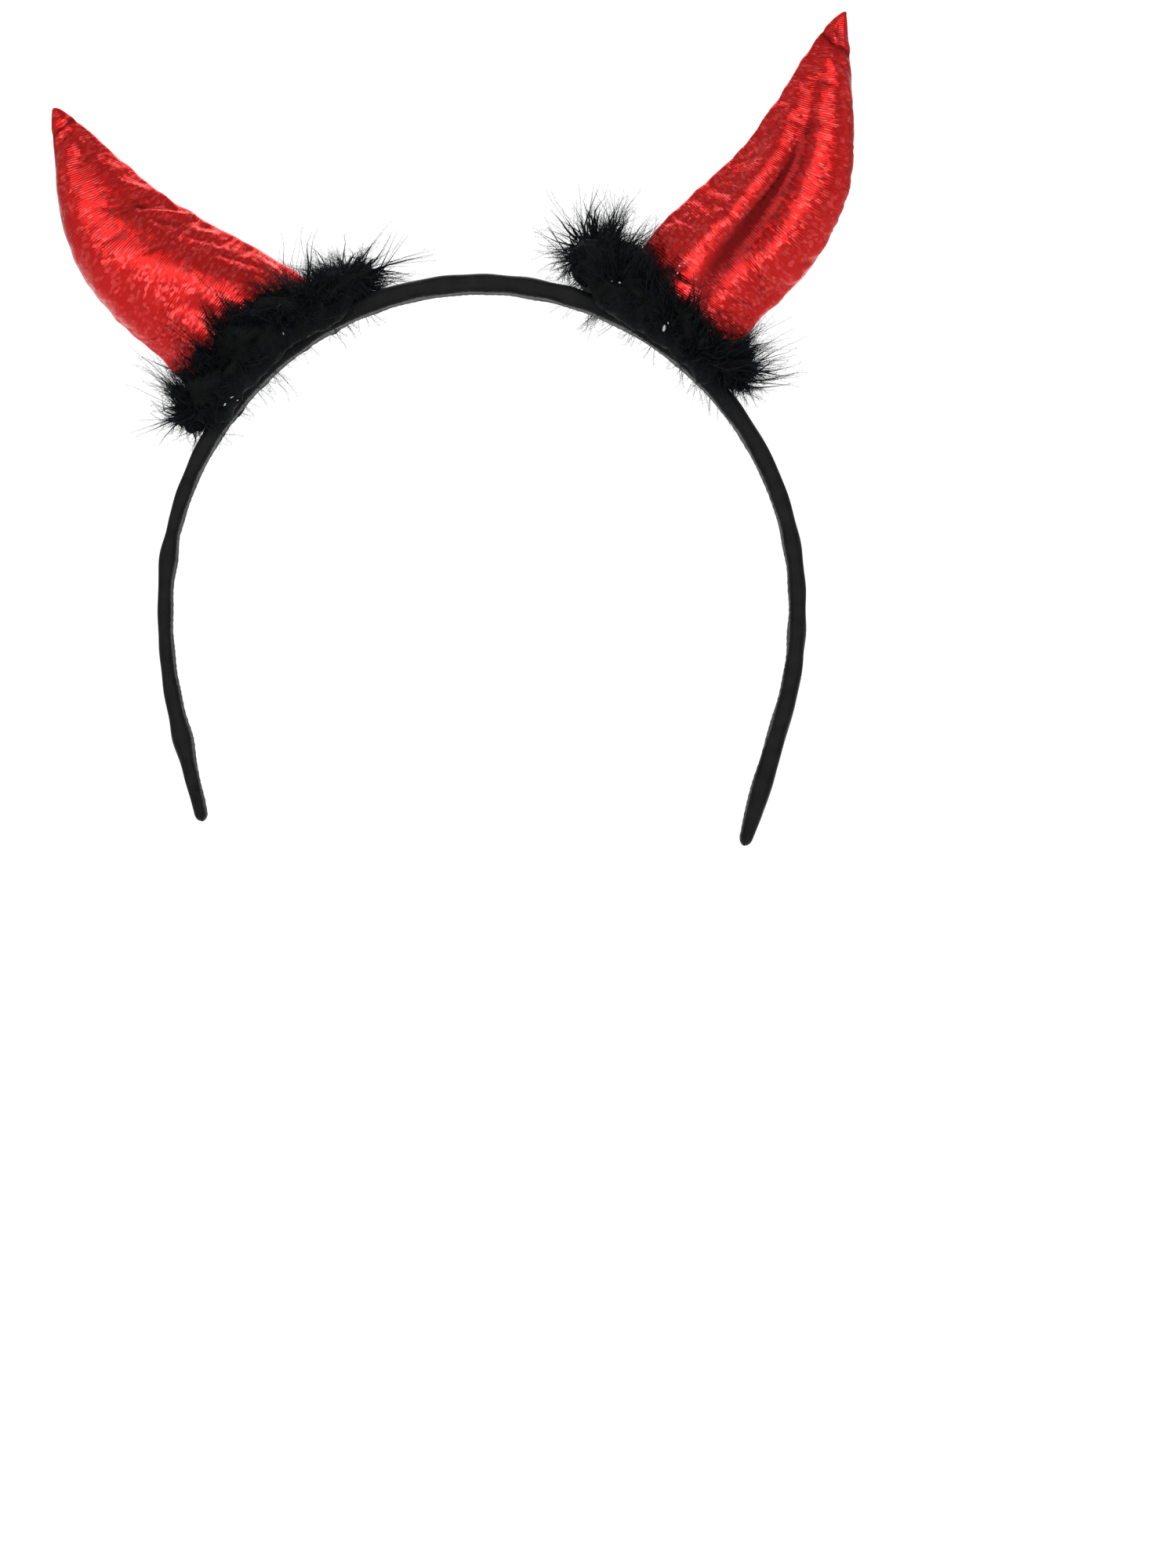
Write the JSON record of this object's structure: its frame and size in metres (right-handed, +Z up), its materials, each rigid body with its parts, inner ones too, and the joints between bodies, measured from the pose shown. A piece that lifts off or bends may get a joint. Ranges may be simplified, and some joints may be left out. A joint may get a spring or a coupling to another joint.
{
  "type": "devil horns headband",
  "caption": "Sprung cloth-covered headband with stuffed metallic red devil horns, each horn's foot wound with a black feather trim, shaped as worn on a head.",
  "frame": {"origin": "middle of the strip's inner face at the crown, where the headband sits on the head", "axes": "+Z up the worn head, +X to the right as seen from the front, -Y out of the front"},
  "size_m": [0.1992, 0.054, 0.2075],
  "materials": {
    "black_cloth": "satin",
    "red_foil_cloth": "metallic",
    "black_down": "matte"
  },
  "bodies": {
    "root": {"headband_strip": "black_cloth", "horn_left": "red_foil_cloth", "horn_right": "red_foil_cloth", "feather_trim_left": "black_down", "feather_trim_right": "black_down"}
  },
  "joints": []
}
